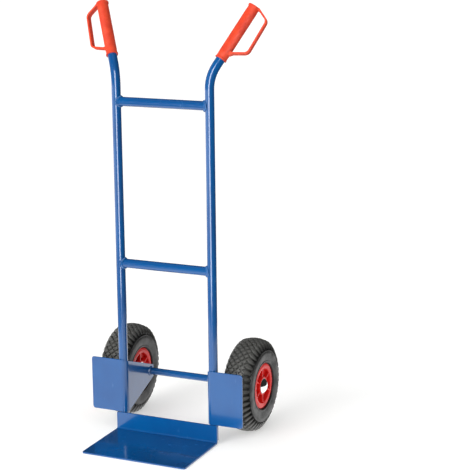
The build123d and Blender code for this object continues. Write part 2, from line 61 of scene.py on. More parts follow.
tyre_low, tyre_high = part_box("right_tyre")
TYRE_RADIUS = (tyre_high.z - tyre_low.z) / 2
TYRE_HALF_WIDTH = (tyre_high.x - tyre_low.x) / 2
AXLE_Y = (tyre_high.y + tyre_low.y) / 2
AXLE_Z = (tyre_high.z + tyre_low.z) / 2

# ---------------------------------------------------------------- sizes of the detail
# Tyre section, as in the CAD, and its tread
CROWN_HALF_WIDTH = 27 * MM
CROWN_DROP = 5.5 * MM
WIDEST_RADIUS = 91 * MM
FOOT_HALF_WIDTH = 38.6 * MM
SHOULDER_BULGE = 3.0 * MM
WALL_BULGE = 1.0 * MM
TREAD_REPEATS = 42
TREAD_COLUMNS = 5  # of diamond blocks across the crown
TREAD_DEPTH = 6.0 * MM
TREAD_PITCH = math.tau * TYRE_RADIUS / TREAD_REPEATS
GROOVE = 4.4 * MM
BLOCK_CHAMFER = 1.8 * MM
BLOCK_EDGE_DROP = 2.0 * MM
LUG_END = 55 * MM  # from the middle of the tread, along the section
LUG_PROUD = 0.8 * MM
LIT_TREAD_RADIUS = 104 * MM  # where the tread's painted light begins: a paler colour standing in for light on it
LIT_TREAD_FADE = 14 * MM
TYRE_STEPS = 144

# Rim
RIM_LIP_RADIUS = 63.2 * MM
RIM_STEPS = 144
RIB_COUNT = 6
RIB_THICKNESS = 4.2 * MM
RIB_EDGE = 0.7 * MM
RIM_CORNERS = (  # millimetres: out from the middle, radius, rounding
    (25.0, 17.5, 0.3),  # step behind the bearing
    (25.0, 21.05, 0),
    (37.5, 21.05, 0.5),  # end of the hub
    (37.5, 25.0, 0.9),
    (2.5, 26.2, 2.0),  # web
    (2.5, 34.8, 1.5),
    (27.0, 35.6, 1.2),  # ledge
    (27.0, 47.0, 2.0),
    (37.2, 48.2, 1.0),  # flange
    (38.2, 54.0, 14.0),
    (36.9, 63.6, 2.6),  # lip
    (33.6, 63.2, 0.4),
    (33.0, 52.3, 0.4),  # barrel
)
RIB_ROWS = (  # millimetres: radius, reach to either side of the middle
    (23.5, 35.4),
    (27.0, 35.3),
    (36.0, 35.6),
    (44.0, 35.9),
    (49.0, 36.1),
)

# Where the tyre's foot sits in the rim
SEAT_EDGE = (33.5 * MM, RIM_LIP_RADIUS + 0.1 * MM)
SEAT_FLOOR = (32.9 * MM, 52.4 * MM)

# Ridges on the tyre's wall in millimetres: along from the ridge's start, height
LUG_END_RIDGE = ((0.6, -0.8), (1.2, 0.5), (2.2, 0.7), (3.2, 0.5), (4.0, -0.1))
BEAD_RIDGE = ((0.8, -0.1), (1.6, 0.9), (3.2, 1.4), (5.0, 1.3), (6.4, 0.6))

# Handles and grips
HANDLE_LEAN = math.radians(36.6)  # from the vertical
HANDLE_TURN = math.radians(47.5)  # from straight out sideways towards the wheels
GUARD_TURN = math.radians(10.3)
GRIP_LENGTH = 164.5 * MM
GRIP_WALL = 2.6 * MM
GRIP_END_WALL = 4.05 * MM
GRIP_LIP = 2.0 * MM
GRIP_STEPS = 120
GRIP_ROW = 0.85 * MM
RIDGE_COUNT = 20
RIDGE_HEIGHT = 0.55 * MM
STRAP_HALF_WIDTH = 7.6 * MM
STRAP_HALF_THICKNESS = 2.5 * MM
STRAP_STEP = 4 * MM
STRAP_FLARE_LENGTH = 6 * MM
TOP_FLARE = 0.5
FOOT_FLARE = 1.3

# Welds
WELD_STAND = 1.5 * MM
WELD_SPACING = 2.1 * MM
WELD_BEAD = 2.9 * MM
WELD_SEED = 4
STITCH_LENGTH = 38 * MM
SADDLE_STAND = 1.2 * MM  # of the crossbars' weld line off the crossbar
SADDLE_DEPTH = 0.8 * MM  # and off the upright
SADDLE_SIDE = 5.2 * MM  # least distance from the upright's middle
AXLE_RING_INSET = 3.0 * MM
AXLE_RING_DEPTH = 0.6 * MM
SADDLE_STEPS = 64
AXLE_RING_STEPS = 48

# Studio, in metres and degrees. Azimuths are from straight in front, towards the right
FLOOR_HALF_SIZE = 60.0
FLOOR_DROP = 0.2 * MM
BRIGHT_FLOOR_RADIUS = 1.1
BRIGHT_FLOOR_STEPS = 64
BRIGHT_FLOOR_DROP = 2 * MM
BRIGHT_FLOOR_GLOW = 1.5
WINDOW_SPAN = (0, 24)
WINDOW_DISTANCE = 1.45
WINDOW_HEIGHT = 1.9
WINDOW_GLOW = 10.0
ROOM_LIGHT = 0.86
BACKGROUND_LIGHT = 1.3

# Camera
LENS = 115.36
SENSOR = 36.0
CAMERA_TURNS = (24.314, 12.957, -0.572)  # azimuth, elevation and roll in degrees
CAMERA_TARGET = (0.1788, 0.03695, 0.5696)
CAMERA_DISTANCE = 4.0232


# ---------------------------------------------------------------- mesh helpers
def new_piece(name, bm, body, slot, sharp):
    """Turns a bmesh into a named piece that rides on a body, in its slot's finish."""
    mesh = bpy.data.meshes.new(name)
    bm.to_mesh(mesh)
    bm.free()
    return finished_piece(name, mesh, body, FINISHES[slot], sharp)


def finished_piece(name, mesh, body, finish, sharp):
    """Turns a mesh into a piece. Edges that turn more than sharp degrees stay crisp."""
    mesh.materials.clear()
    mesh.materials.append(finish)
    mesh.shade_smooth()
    mesh.set_sharp_from_angle(angle=math.radians(sharp))
    piece = bpy.data.objects.new(name, mesh)
    bpy.context.scene.collection.objects.link(piece)
    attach(piece, body)
    return piece


def rounded(corners, steps=4, closed=True):
    """Points of an outline of (a, b, radius) corners, with each corner an arc."""
    points = []
    count = len(corners)
    for number, (a, b, radius) in enumerate(corners):
        here = Vector((a, b))
        if radius == 0 or (not closed and number in (0, count - 1)):
            points.append(here)
            continue
        before = Vector(corners[number - 1][:2]) - here
        after = Vector(corners[(number + 1) % count][:2]) - here
        half_turn = before.angle(after) / 2
        middle = here + (before.normalized() + after.normalized()).normalized() * (
            radius / math.sin(half_turn)
        )
        start = here + before.normalized() * (radius / math.tan(half_turn)) - middle
        end = here + after.normalized() * (radius / math.tan(half_turn)) - middle
        turn = start.angle_signed(end)
        for step in range(steps + 1):
            points.append(middle + Matrix.Rotation(-turn * step / steps, 2) @ start)
    return points


def bulged_arc(start, end, bulge, steps):
    """Points of an arc that stands out from the chord between two points."""
    start, end = Vector(start), Vector(end)
    chord = end - start
    half = chord.length / 2
    radius = (half * half + bulge * bulge) / (2 * bulge)
    outward = Vector((-chord.y, chord.x)).normalized()
    middle = (start + end) / 2 - outward * (radius - bulge)
    reach = math.asin(half / radius)
    return [
        middle + Matrix.Rotation(reach - 2 * reach * step / steps, 2) @ (outward * radius)
        for step in range(steps + 1)
    ]


def revolve(bm, outline, steps, centre):
    """Turns a closed outline of (x, radius) points about the X direction through centre."""
    rings = []
    for step in range(steps):
        angle = math.tau * step / steps
        sine, cosine = math.sin(angle), math.cos(angle)
        ring = [bm.verts.new(centre + Vector((x, r * sine, r * cosine))) for x, r in outline]
        rings.append(ring)
    join_rings(bm, rings, ring_closed=True, row_closed=True)


def join_rings(bm, rings, ring_closed, row_closed):
    """Quads between rows of vertices; each row, and the run of rows, may be closed."""
    count = len(rings[0])
    for number in range(len(rings) if ring_closed else len(rings) - 1):
        this, following = rings[number], rings[(number + 1) % len(rings)]
        for place in range(count if row_closed else count - 1):
            after = (place + 1) % count
            bm.faces.new((this[place], this[after], following[after], following[place]))


def outward_faces(bm):
    bmesh.ops.recalc_face_normals(bm, faces=bm.faces[:])


# ---------------------------------------------------------------- node helpers
def maths(tree, operation, first, second):
    """The result of a Math node. Each input is a socket or a plain number."""
    node = tree.nodes.new("ShaderNodeMath")
    node.operation = operation
    for place, value in enumerate((first, second)):
        if isinstance(value, bpy.types.NodeSocket):
            tree.links.new(value, node.inputs[place])
        else:
            node.inputs[place].default_value = value
    return node.outputs[0]


def ranged(tree, value, limits, smooth=False):
    """A value moved from one range to another: limits are from low, high, to low, high."""
    node = tree.nodes.new("ShaderNodeMapRange")
    if smooth:
        node.interpolation_type = "SMOOTHSTEP"
    for label, limit in zip(("From Min", "From Max", "To Min", "To Max"), limits):
        node.inputs[label].default_value = limit
    tree.links.new(value, node.inputs["Value"])
    return node.outputs[0]


# ---------------------------------------------------------------- geometry node trees
def node_tree(name, inputs):
    """A new Geometry Nodes tree with named inputs, and its first and last nodes."""
    tree = bpy.data.node_groups.new(name, "GeometryNodeTree")
    tree.interface.new_socket("Geometry", in_out="INPUT", socket_type="NodeSocketGeometry")
    for label, kind in inputs:
        tree.interface.new_socket(label, in_out="INPUT", socket_type=kind)
    tree.interface.new_socket("Geometry", in_out="OUTPUT", socket_type="NodeSocketGeometry")
    return tree, tree.nodes.new("NodeGroupInput"), tree.nodes.new("NodeGroupOutput")


def ring_tree():
    """Copies of a mesh, evenly turned about the X direction, then moved to a centre."""
    tree, given, result = node_tree(
        "ring_of_copies",
        [
            ("Copies", "NodeSocketInt"),
            ("Centre", "NodeSocketVector"),
            ("Finish", "NodeSocketMaterial"),
        ],
    )
    new, link = tree.nodes.new, tree.links.new
    points = new("GeometryNodePoints")
    link(given.outputs["Copies"], points.inputs["Count"])
    number = new("GeometryNodeInputIndex").outputs[0]
    share = maths(tree, "DIVIDE", number, given.outputs["Copies"])
    turn = new("ShaderNodeCombineXYZ")
    link(maths(tree, "MULTIPLY", share, math.tau), turn.inputs["X"])
    copies = new("GeometryNodeInstanceOnPoints")
    link(points.outputs[0], copies.inputs["Points"])
    link(given.outputs["Geometry"], copies.inputs["Instance"])
    link(turn.outputs[0], copies.inputs["Rotation"])
    solid = new("GeometryNodeRealizeInstances")
    link(copies.outputs[0], solid.inputs[0])
    moved = new("GeometryNodeTransform")
    link(solid.outputs[0], moved.inputs["Geometry"])
    link(given.outputs["Centre"], moved.inputs["Translation"])
    painted = new("GeometryNodeSetMaterial")
    link(moved.outputs[0], painted.inputs["Geometry"])
    link(given.outputs["Finish"], painted.inputs["Material"])
    link(painted.outputs[0], result.inputs[0])
    return tree


def weld_tree():
    """Overlapping lumps of weld metal along the edges of a mesh."""
    tree, given, result = node_tree(
        "weld_ripples",
        [
            ("Spacing", "NodeSocketFloat"),
            ("Bead radius", "NodeSocketFloat"),
            ("Seed", "NodeSocketInt"),
            ("Finish", "NodeSocketMaterial"),
        ],
    )
    new, link = tree.nodes.new, tree.links.new
    curve = new("GeometryNodeMeshToCurve")
    link(given.outputs["Geometry"], curve.inputs[0])
    spaced = new("GeometryNodeResampleCurve")
    spaced.mode = "LENGTH"
    link(curve.outputs[0], spaced.inputs["Curve"])
    link(given.outputs["Spacing"], spaced.inputs["Length"])
    lump = new("GeometryNodeMeshIcoSphere")
    lump.inputs["Subdivisions"].default_value = 2
    link(given.outputs["Bead radius"], lump.inputs["Radius"])
    along = new("FunctionNodeAlignRotationToVector")
    along.axis = "Z"
    link(new("GeometryNodeInputTangent").outputs[0], along.inputs["Vector"])
    size = new("FunctionNodeRandomValue")
    size.data_type = "FLOAT_VECTOR"
    size.inputs["Min"].default_value = (0.88, 0.88, 0.55)
    size.inputs["Max"].default_value = (1.1, 1.1, 0.75)
    link(given.outputs["Seed"], size.inputs["Seed"])
    copies = new("GeometryNodeInstanceOnPoints")
    link(spaced.outputs[0], copies.inputs["Points"])
    link(lump.outputs["Mesh"], copies.inputs["Instance"])
    link(along.outputs[0], copies.inputs["Rotation"])
    link(size.outputs["Value"], copies.inputs["Scale"])
    solid = new("GeometryNodeRealizeInstances")
    link(copies.outputs[0], solid.inputs[0])
    painted = new("GeometryNodeSetMaterial")
    link(solid.outputs[0], painted.inputs["Geometry"])
    link(given.outputs["Finish"], painted.inputs["Material"])
    link(painted.outputs[0], result.inputs[0])
    return tree


def grown_mesh(bm, tree, values):
    """The plain mesh that a node tree makes from a bmesh, with its inputs set by name."""
    seed_mesh = bpy.data.meshes.new("seed")
    bm.to_mesh(seed_mesh)
    bm.free()
    seed = bpy.data.objects.new("seed", seed_mesh)
    bpy.context.scene.collection.objects.link(seed)
    modifier = seed.modifiers.new("grow", "NODES")
    modifier.node_group = tree
    for socket in tree.interface.items_tree:
        if socket.in_out == "INPUT" and socket.name in values:
            modifier[socket.identifier] = values[socket.name]
    graph = bpy.context.evaluated_depsgraph_get()
    mesh = bpy.data.meshes.new_from_object(seed.evaluated_get(graph))
    seed.modifiers.clear()
    bpy.data.objects.remove(seed)
    bpy.data.meshes.remove(seed_mesh)
    return mesh


# ---------------------------------------------------------------- shared shader effects
def effect(name, inputs, outputs):
    """A new shader node group with named inputs and outputs."""
    tree = bpy.data.node_groups.new(name, "ShaderNodeTree")
    for label, kind, value in inputs:
        socket = tree.interface.new_socket(label, in_out="INPUT", socket_type=kind)
        if value is not None:
            socket.default_value = value
    for label, kind in outputs:
        tree.interface.new_socket(label, in_out="OUTPUT", socket_type=kind)
    return tree, tree.nodes.new("NodeGroupInput"), tree.nodes.new("NodeGroupOutput")


def mottle_effect():
    """Slow drift between two colours, with a finer drift over it."""
    tree, given, result = effect(
        "mottle",
        [
            ("Vector", "NodeSocketVector", None),
            ("Colour", "NodeSocketColor", (1, 1, 1, 1)),
            ("Other colour", "NodeSocketColor", (0, 0, 0, 1)),
            ("Scale", "NodeSocketFloat", 10.0),
        ],
        [("Colour", "NodeSocketColor"), ("Mask", "NodeSocketFloat")],
    )
    new, link = tree.nodes.new, tree.links.new
    noise = new("ShaderNodeTexNoise")
    noise.inputs["Detail"].default_value = 5
    link(given.outputs["Vector"], noise.inputs["Vector"])
    link(given.outputs["Scale"], noise.inputs["Scale"])
    mask = ranged(tree, noise.outputs["Fac"], (0.35, 0.7), smooth=True)
    mix = new("ShaderNodeMix")
    mix.data_type = "RGBA"
    link(mask, mix.inputs["Factor"])
    link(given.outputs["Colour"], mix.inputs["A"])
    link(given.outputs["Other colour"], mix.inputs["B"])
    link(mix.outputs["Result"], result.inputs["Colour"])
    link(mask, result.inputs["Mask"])
    return tree


def grain_effect():
    """Fine moulded or sprayed grain: pores from cells, and a soft unevenness."""
    tree, given, result = effect(
        "grain",
        [
            ("Vector", "NodeSocketVector", None),
            ("Scale", "NodeSocketFloat", 400.0),
            ("Pores", "NodeSocketFloat", 0.5),
        ],
        [("Height", "NodeSocketFloat"), ("Pits", "NodeSocketFloat")],
    )
    new, link = tree.nodes.new, tree.links.new
    noise = new("ShaderNodeTexNoise")
    noise.inputs["Detail"].default_value = 3
    link(given.outputs["Vector"], noise.inputs["Vector"])
    link(given.outputs["Scale"], noise.inputs["Scale"])
    cells = new("ShaderNodeTexVoronoi")
    link(given.outputs["Vector"], cells.inputs["Vector"])
    link(given.outputs["Scale"], cells.inputs["Scale"])
    pits = ranged(tree, cells.outputs["Distance"], (0.1, 0.35, 1.0, 0.0))
    deep = maths(tree, "MULTIPLY", pits, given.outputs["Pores"])
    link(maths(tree, "SUBTRACT", noise.outputs["Fac"], deep), result.inputs["Height"])
    link(deep, result.inputs["Pits"])
    return tree


def scratch_effect():
    """Thin scuff lines and small knocks, as a mask."""
    tree, given, result = effect(
        "scuffs",
        [
            ("Vector", "NodeSocketVector", None),
            ("Scale", "NodeSocketFloat", 20.0),
            ("Amount", "NodeSocketFloat", 0.5),
        ],
        [("Mask", "NodeSocketFloat")],
    )
    new, link = tree.nodes.new, tree.links.new
    stretch = new("ShaderNodeMapping")
    stretch.inputs["Rotation"].default_value = (0.5, 0.9, 0.3)
    stretch.inputs["Scale"].default_value = (9.0, 9.0, 0.6)
    link(given.outputs["Vector"], stretch.inputs["Vector"])
    lines = new("ShaderNodeTexNoise")
    lines.inputs["Detail"].default_value = 2
    link(stretch.outputs[0], lines.inputs["Vector"])
    link(given.outputs["Scale"], lines.inputs["Scale"])
    patches = new("ShaderNodeTexNoise")
    link(given.outputs["Vector"], patches.inputs["Vector"])
    link(given.outputs["Scale"], patches.inputs["Scale"])
    both = maths(tree, "MULTIPLY", lines.outputs["Fac"], patches.outputs["Fac"])
    sharp = ranged(tree, both, (0.4, 0.47))
    link(maths(tree, "MULTIPLY", sharp, given.outputs["Amount"]), result.inputs["Mask"])
    return tree


def turning_effect():
    """Concentric marks about the wheels' axis, left by a lathe or a mould."""
    tree, given, result = effect(
        "turning_marks",
        [
            ("Vector", "NodeSocketVector", None),
            ("Scale", "NodeSocketFloat", 300.0),
        ],
        [("Height", "NodeSocketFloat"), ("Radius", "NodeSocketFloat")],
    )
    new, link = tree.nodes.new, tree.links.new
    centred = new("ShaderNodeVectorMath")
    centred.operation = "SUBTRACT"
    centred.inputs[1].default_value = (0, AXLE_Y, AXLE_Z)
    link(given.outputs["Vector"], centred.inputs[0])
    flat = new("ShaderNodeVectorMath")
    flat.operation = "MULTIPLY"
    flat.inputs[1].default_value = (0, 1, 1)
    link(centred.outputs[0], flat.inputs[0])
    radius = new("ShaderNodeVectorMath")
    radius.operation = "LENGTH"
    link(flat.outputs[0], radius.inputs[0])
    noise = new("ShaderNodeTexNoise")
    noise.noise_dimensions = "1D"
    noise.inputs["Detail"].default_value = 4
    link(radius.outputs["Value"], noise.inputs["W"])
    link(given.outputs["Scale"], noise.inputs["Scale"])
    link(noise.outputs["Fac"], result.inputs["Height"])
    link(radius.outputs["Value"], result.inputs["Radius"])
    return tree


MOTTLE = mottle_effect()
GRAIN = grain_effect()
SCUFFS = scratch_effect()
TURNING = turning_effect()
RING = ring_tree()
WELD = weld_tree()


# ---------------------------------------------------------------- finishes
class Finish:
    """A material in the making: its nodes, its shader, and calls that add to them."""

    def __init__(self, name, **constants):
        self.material = bpy.data.materials.new(name)
        self.material.use_nodes = True
        self.tree = self.material.node_tree
        self.nodes = self.tree.nodes
        self.link = self.tree.links.new
        self.shader = self.nodes["Principled BSDF"]
        self.place = self.nodes.new("ShaderNodeTexCoord").outputs["Object"]
        for label, value in constants.items():
            self.shader.inputs[label.replace("_", " ")].default_value = value

    def effect(self, tree, **values):
        node = self.nodes.new("ShaderNodeGroup")
        node.node_tree = tree
        self.link(self.place, node.inputs["Vector"])
        for label, value in values.items():
            node.inputs[label.replace("_", " ")].default_value = value
        return node

    def mix(self, factor, first, second):
        """A colour mixed between two, each a socket or a plain colour."""
        node = self.nodes.new("ShaderNodeMix")
        node.data_type = "RGBA"
        self.link(factor, node.inputs["Factor"])
        for label, colour in (("A", first), ("B", second)):
            if isinstance(colour, tuple):
                node.inputs[label].default_value = colour
            else:
                self.link(colour, node.inputs[label])
        return node.outputs["Result"]

    def spread(self, value, low, high):
        """A value between 0 and 1, spread between two others."""
        return ranged(self.tree, value, (0.0, 1.0, low, high))

    def sum(self, first, second):
        return maths(self.tree, "ADD", first, second)

    def bump(self, height, distance, strength=1.0):
        node = self.nodes.new("ShaderNodeBump")
        node.inputs["Distance"].default_value = distance
        node.inputs["Strength"].default_value = strength
        self.link(height, node.inputs["Height"])
        self.link(node.outputs[0], self.shader.inputs["Normal"])

    def feed(self, label, value):
        self.link(value, self.shader.inputs[label])


def blue_paint():
    """Glossy stove enamel with a little orange peel and a few fine scuffs."""
    finish = Finish("blue_paint", Coat_Roughness=0.05, IOR=1.5)
    finish.shader.inputs["Coat Weight"].default_value = 0.55
    tone = finish.effect(
        MOTTLE, Scale=9.0, Colour=(0.001, 0.070, 0.236, 1), Other_colour=(0.0006, 0.058, 0.207, 1)
    )
    scuffs = finish.effect(SCUFFS, Scale=26.0, Amount=0.35)
    scuffed = finish.mix(scuffs.outputs[0], tone.outputs["Colour"], (0.06, 0.17, 0.36, 1))
    finish.feed("Base Color", scuffed)
    finish.feed("Roughness", finish.spread(tone.outputs["Mask"], 0.16, 0.24))
    peel = finish.effect(GRAIN, Scale=260.0, Pores=0.12)
    finish.bump(peel.outputs["Height"], 0.03 * MM, 0.5)
    return finish.material


def weld_paint():
    """The same enamel where it lies over weld metal, a little thinner and brighter."""
    finish = Finish("weld_paint", Coat_Roughness=0.05, IOR=1.5)
    finish.shader.inputs["Coat Weight"].default_value = 0.7
    tone = finish.effect(
        MOTTLE, Scale=160.0, Colour=(0.01, 0.10, 0.30, 1), Other_colour=(0.006, 0.07, 0.23, 1)
    )
    finish.feed("Base Color", tone.outputs["Colour"])
    finish.feed("Roughness", finish.spread(tone.outputs["Mask"], 0.12, 0.25))
    spatter = finish.effect(GRAIN, Scale=900.0, Pores=0.4)
    finish.bump(spatter.outputs["Height"], 0.12 * MM, 0.6)
    return finish.material


def grip_plastic():
    """Soft red-orange moulding plastic with a fine matt grain."""
    finish = Finish("grip_plastic", IOR=1.42)
    tone = finish.effect(
        MOTTLE, Scale=45.0, Colour=(0.66, 0.052, 0.013, 1), Other_colour=(0.56, 0.036, 0.010, 1)
    )
    grain = finish.effect(GRAIN, Scale=1500.0, Pores=0.35)
    worn = finish.effect(SCUFFS, Scale=40.0, Amount=0.3)
    worn_and_lit_colour = finish.mix(worn.outputs[0], tone.outputs["Colour"], (0.62, 0.13, 0.07, 1))
    finish.feed("Base Color", worn_and_lit_colour)
    finish.feed("Roughness", finish.spread(tone.outputs["Mask"], 0.5, 0.62))
    finish.bump(grain.outputs["Height"], 0.08 * MM, 0.5)
    return finish.material


def rim_plastic():
    """Red injection-moulded plastic with faint turning marks from the mould."""
    finish = Finish("rim_plastic", IOR=1.42, Specular_IOR_Level=0.3)
    tone = finish.effect(
        MOTTLE, Scale=30.0, Colour=(0.74, 0.016, 0.012, 1), Other_colour=(0.62, 0.010, 0.009, 1)
    )
    marks = finish.effect(TURNING, Scale=900.0)
    grain = finish.effect(GRAIN, Scale=1100.0, Pores=0.15)
    finish.feed("Base Color", tone.outputs["Colour"])
    finish.feed("Roughness", finish.spread(tone.outputs["Mask"], 0.26, 0.36))
    finish.bump(finish.sum(marks.outputs["Height"], grain.outputs["Height"]), 0.05 * MM, 0.5)
    return finish.material


def tyre_foam():
    """Dark grey cellular tyre compound: a moulded skin with pores and pale scuffs. The tread is
    painted paler, as painted light.
    """
    finish = Finish("tyre_foam", IOR=1.48, Specular_IOR_Level=0.33)
    tone = finish.effect(
        MOTTLE, Scale=38.0, Colour=(0.023, 0.023, 0.022, 1), Other_colour=(0.014, 0.014, 0.0135, 1)
    )
    grain = finish.effect(GRAIN, Scale=1300.0, Pores=0.6)
    marks = finish.effect(TURNING, Scale=500.0)
    scuffs = finish.effect(SCUFFS, Scale=60.0, Amount=0.35)
    # Painted light: beyond this radius the tread is coloured paler, standing in for the light that
    # falls on it
    edge = (LIT_TREAD_RADIUS, LIT_TREAD_RADIUS + LIT_TREAD_FADE)
    tread = ranged(finish.tree, marks.outputs["Radius"], edge)
    worn_and_lit_colour = finish.mix(tread, tone.outputs["Colour"], (0.086, 0.086, 0.081, 1))
    pored = finish.mix(grain.outputs["Pits"], worn_and_lit_colour, (0.02, 0.02, 0.02, 1))
    finish.feed("Base Color", finish.mix(scuffs.outputs[0], pored, (0.09, 0.088, 0.08, 1)))
    finish.feed("Roughness", finish.spread(tone.outputs["Mask"], 0.34, 0.5))
    finish.bump(finish.sum(grain.outputs["Height"], marks.outputs["Height"]), 0.12 * MM, 0.6)
    return finish.material


def zinc():
    """Galvanised steel with its crystal pattern and light handling marks."""
    finish = Finish("zinc", Metallic=1.0)
    crystals = finish.effect(GRAIN, Scale=420.0, Pores=0.6)
    tone = finish.effect(
        MOTTLE, Scale=130.0, Colour=(0.62, 0.63, 0.64, 1), Other_colour=(0.46, 0.47, 0.49, 1)
    )
    flecked = finish.mix(crystals.outputs["Pits"], tone.outputs["Colour"], (0.4, 0.41, 0.44, 1))
    finish.feed("Base Color", flecked)
    finish.feed("Roughness", finish.spread(tone.outputs["Mask"], 0.3, 0.45))
    finish.bump(crystals.outputs["Height"], 0.04 * MM, 0.5)
    return finish.material


def cap_chrome():
    """Bright polished cap with hairline scratches and faint smudges."""
    finish = Finish("cap_chrome", Metallic=1.0)
    smudge = finish.effect(
        MOTTLE, Scale=70.0, Colour=(0.86, 0.87, 0.88, 1), Other_colour=(0.8, 0.81, 0.83, 1)
    )
    hairlines = finish.effect(SCUFFS, Scale=160.0, Amount=0.5)
    scratched = finish.mix(
        hairlines.outputs[0], smudge.outputs["Colour"], (0.6, 0.61, 0.63, 1)
    )
    finish.feed("Base Color", scratched)
    finish.feed("Roughness", finish.spread(smudge.outputs["Mask"], 0.05, 0.13))
    marks = finish.effect(TURNING, Scale=1200.0)
    finish.bump(marks.outputs["Height"], 0.01 * MM, 0.4)
    return finish.material


def bearing_steel():
    """Ground bearing steel with turning marks and a trace of oil."""
    finish = Finish("bearing_steel", Metallic=1.0)
    marks = finish.effect(TURNING, Scale=2500.0)
    oil = finish.effect(
        MOTTLE, Scale=180.0, Colour=(0.66, 0.66, 0.67, 1), Other_colour=(0.5, 0.49, 0.47, 1)
    )
    finish.feed("Base Color", oil.outputs["Colour"])
    finish.feed("Roughness", finish.spread(marks.outputs["Height"], 0.12, 0.34))
    finish.bump(marks.outputs["Height"], 0.02 * MM, 0.6)
    return finish.material


FINISHES = {
    "blue_paint": blue_paint(),
    "grip_plastic": grip_plastic(),
    "rim_plastic": rim_plastic(),
    "tyre_foam": tyre_foam(),
    "zinc": zinc(),
    "cap_chrome": cap_chrome(),
    "bearing_steel": bearing_steel(),
}
WELD_PAINT = weld_paint()


def finish_cad_nodes():
    """Gives each CAD node that stays in view the finish of its material slot."""
    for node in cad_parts.values():
        for slot in node.material_slots:
            slot.material = FINISHES[slot.material.name.split(".")[0]]
    for name in ("crossbar_welds", "toe_plate_welds", "bracket_welds", "axle_welds"):
        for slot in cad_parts[name].material_slots:
            slot.material = WELD_PAINT


# ---------------------------------------------------------------- tyre
class TyreSection:
    """Half the tyre's outline, measured along it from the middle of the tread."""

    def __init__(self):
        crown_edge = (CROWN_HALF_WIDTH, TYRE_RADIUS - CROWN_DROP)
        widest = (TYRE_HALF_WIDTH, WIDEST_RADIUS)
        foot = (FOOT_HALF_WIDTH, RIM_LIP_RADIUS + MM)
        crown = bulged_arc((-CROWN_HALF_WIDTH, crown_edge[1]), crown_edge, CROWN_DROP, 24)
        self.points = crown[12:]
        self.points += bulged_arc(crown_edge, widest, SHOULDER_BULGE, 16)[1:]
        self.points += bulged_arc(widest, foot, WALL_BULGE, 12)[1:]
        self.lengths = [0.0]
        for here, following in zip(self.points, self.points[1:]):
            self.lengths.append(self.lengths[-1] + (following - here).length)

    @property
    def length(self):
        return self.lengths[-1]

    def at(self, distance, raised=0.0):
        """(x, radius) at a distance along, raised off the section. Negative is the far side."""
        along = min(abs(distance), self.length)
        number = 0
        while number < len(self.points) - 2 and self.lengths[number + 1] < along:
            number += 1
        start, end = self.points[number], self.points[number + 1]
        share = (along - self.lengths[number]) / (self.lengths[number + 1] - self.lengths[number])
        chord = (end - start).normalized()
        place = start.lerp(end, share) + Vector((-chord.y, chord.x)) * raised
        return (math.copysign(place.x, distance) if distance else 0.0, place.y)


SECTION = TyreSection()


def carcass_outline():
    """The tyre under its tread: grooved floor, ridge ring, smooth wall and bead ridge."""
    wall_end = SECTION.length
    heights = [(number * LUG_END / 12, -TREAD_DEPTH) for number in range(12)]
    heights.append((LUG_END - 1.5 * MM, -TREAD_DEPTH))
    heights += [(LUG_END + along * MM, height * MM) for along, height in LUG_END_RIDGE]
    wall_start = LUG_END + 6 * MM
    bead = wall_end - 8 * MM
    heights += [(wall_start + (bead - wall_start) * number / 12, 0.0) for number in range(12)]
    heights += [(bead + along * MM, height * MM) for along, height in BEAD_RIDGE]
    heights += [(wall_end - 0.6 * MM, -1.2 * MM), (wall_end, -3.4 * MM)]
    half = [SECTION.at(*place) for place in heights] + [SEAT_EDGE, SEAT_FLOOR]
    return half + [(-x, r) for x, r in reversed(half[1:])]


def raised_patch(bm, rows, phase, proud=0.0):
    """A tread block from rows of (distance along the section, half width)."""
    sunk = -TREAD_DEPTH - 1.5 * MM

    def place(distance, across, raised):
        x, radius = SECTION.at(distance, raised)
        angle = (phase * TREAD_PITCH + across) / TYRE_RADIUS
        return bm.verts.new((x, radius * math.sin(angle), radius * math.cos(angle)))

    grid = []
    for number, (distance, half_width) in enumerate(rows):
        at_end = number in (0, len(rows) - 1)
        top = max(half_width - BLOCK_CHAMFER, 0.1 * MM)
        outer = half_width + 0.5 * MM
        crown = sunk if at_end else proud
        edge = sunk if at_end else proud - BLOCK_EDGE_DROP
        grid.append(
            [
                place(distance, -outer, sunk),
                place(distance, -half_width, edge),
                place(distance, -top, crown),
                place(distance, top, crown),
                place(distance, half_width, edge),
                place(distance, outer, sunk),
            ]
        )
    join_rings(bm, grid, ring_closed=False, row_closed=True)
    bm.faces.new(grid[0])
    bm.faces.new(grid[-1])


def tread_repeat():
    """One repeat of the tread: a row of diamond blocks across and a lug on each shoulder."""
    bm = bmesh.new()
    reach = TREAD_PITCH / 2 - GROOVE / math.sqrt(2)
    shares = (-1.0, -0.93, -0.5, 0.0, 0.5, 0.93, 1.0)
    lug_column = TREAD_COLUMNS // 2 + 1
    for column in range(1 - lug_column, lug_column):
        middle = column * TREAD_PITCH / 2
        rows = []
        for share in shares:
            half_width = max(reach * (1 - abs(share)), 0.5 * MM)
            rows.append((middle + share * reach, half_width))
        raised_patch(bm, rows, (column % 2) / 2)
    tip = lug_column / 2 * TREAD_PITCH - reach
    lug = [
        (tip, 0.5 * MM),
        (tip + 0.07 * reach, 0.7 * MM),
        (tip + 0.5 * reach, 0.5 * reach),
        (tip + reach, 0.92 * reach),
        (tip + reach + 3 * MM, 0.92 * reach),
        (LUG_END - 10 * MM, 0.84 * reach),
        (LUG_END - 5 * MM, 0.7 * reach),
        (LUG_END - 1.6 * MM, 0.5 * reach),
        (LUG_END, 0.3 * reach),
    ]
    for side in (-1, 1):
        rows = [(side * distance, half_width) for distance, half_width in lug]
        raised_patch(bm, rows, (lug_column % 2) / 2, LUG_PROUD)
    outward_faces(bm)
    return bm


